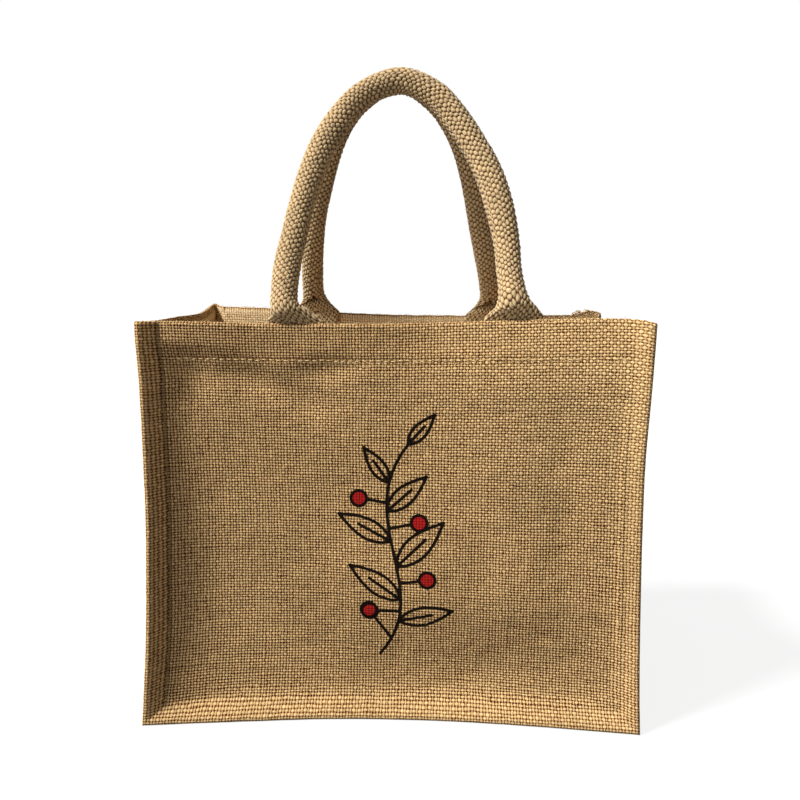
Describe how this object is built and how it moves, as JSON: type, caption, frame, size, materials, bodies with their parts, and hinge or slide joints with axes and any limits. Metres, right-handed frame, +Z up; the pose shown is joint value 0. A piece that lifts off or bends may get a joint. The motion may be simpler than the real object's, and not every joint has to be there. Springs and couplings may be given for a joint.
{
  "type": "jute carrier bag",
  "caption": "Open-topped rectangular jute carrier bag with a gusset, hemmed rim, framed seams and two padded webbing handles that meet at the top.",
  "frame": {"origin": "middle of the base, on the surface that the bag stands on", "axes": "+Z up; -Y is the front; +X is to the right as seen from the front"},
  "size_m": [0.3505, 0.193, 0.4735],
  "materials": {
    "jute_cloth": "coarse plain weave, matt",
    "jute_webbing": "thick close-woven webbing, matt"
  },
  "bodies": {
    "root": {"front_panel": "jute_cloth", "back_panel": "jute_cloth", "gusset": "jute_cloth", "handle_front": "jute_webbing", "handle_back": "jute_webbing"}
  },
  "joints": []
}
